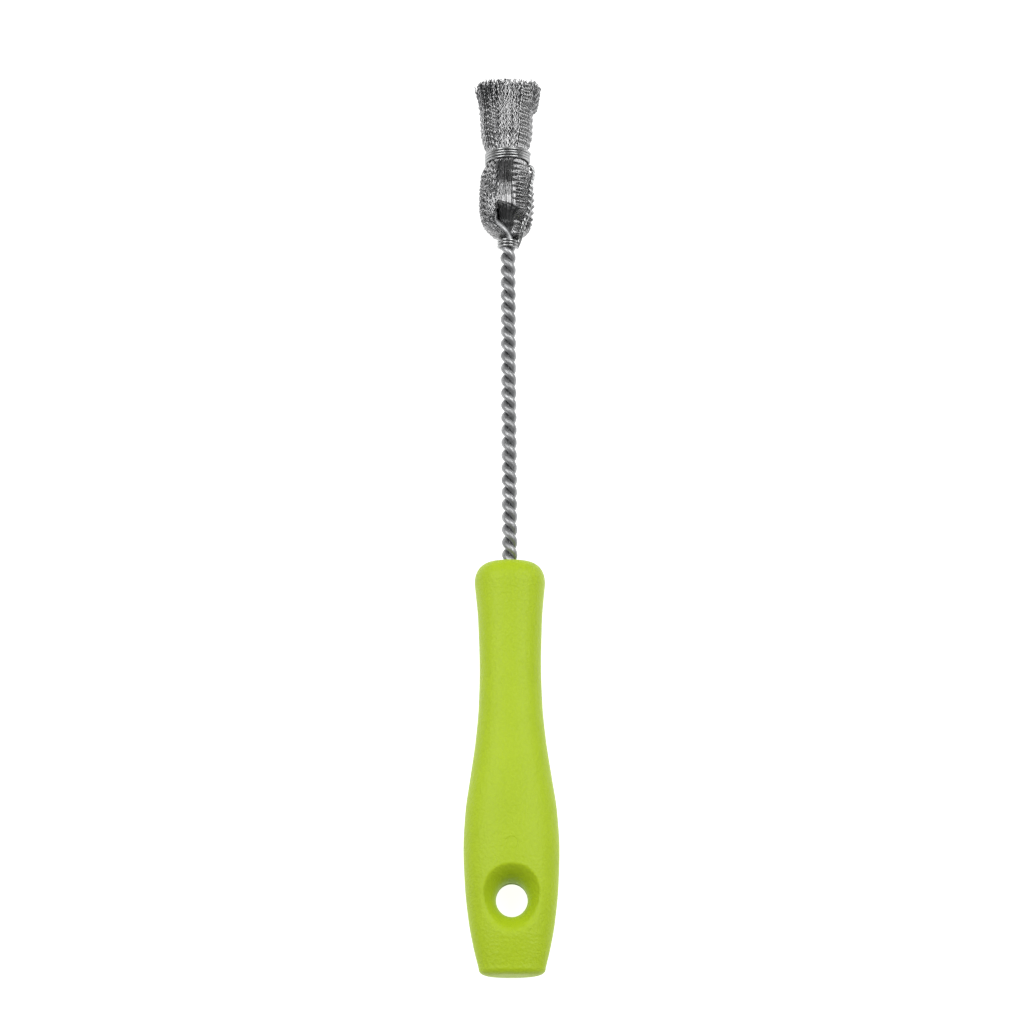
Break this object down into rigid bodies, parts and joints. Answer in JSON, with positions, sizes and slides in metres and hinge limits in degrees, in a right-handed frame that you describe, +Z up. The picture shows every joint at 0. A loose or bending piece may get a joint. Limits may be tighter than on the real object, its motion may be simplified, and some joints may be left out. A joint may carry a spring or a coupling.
{
  "type": "grill cleaning brush",
  "caption": "Wire grill brush with a moulded lime handle, a hanging hole, a twisted wire shaft and a tied head of crimped steel wires.",
  "frame": {"origin": "centre of the footprint on the surface that the brush lies on, on its back", "axes": "+Y from the handle's butt to the bristle tips, +Z up out of the front face, +X to the right seen from the front"},
  "size_m": [0.0298, 0.29, 0.0204],
  "materials": {
    "handle_plastic": "fine leather grain, moulded",
    "shaft_steel": "drawn galvanised wire",
    "tie_steel": "bright drawn wire",
    "bristle_steel": "crimped drawn wire"
  },
  "bodies": {
    "root": {"handle": "handle_plastic", "shaft_wire": "shaft_steel", "waist_tie_wire": "tie_steel", "base_tie_wire": "tie_steel", "bristle_lock_inner_1": "bristle_steel", "bristle_lock_inner_2": "bristle_steel", "bristle_lock_inner_3": "bristle_steel", "bristle_lock_inner_4": "bristle_steel", "bristle_lock_inner_5": "bristle_steel", "bristle_lock_inner_6": "bristle_steel", "bristle_lock_middle_1": "bristle_steel", "bristle_lock_middle_2": "bristle_steel", "bristle_lock_middle_3": "bristle_steel", "bristle_lock_middle_4": "bristle_steel", "bristle_lock_middle_5": "bristle_steel", "bristle_lock_middle_6": "bristle_steel", "bristle_lock_outer_1": "bristle_steel", "bristle_lock_outer_2": "bristle_steel", "bristle_lock_outer_3": "bristle_steel", "bristle_lock_outer_4": "bristle_steel", "bristle_lock_outer_5": "bristle_steel", "bristle_lock_outer_6": "bristle_steel"}
  },
  "joints": []
}
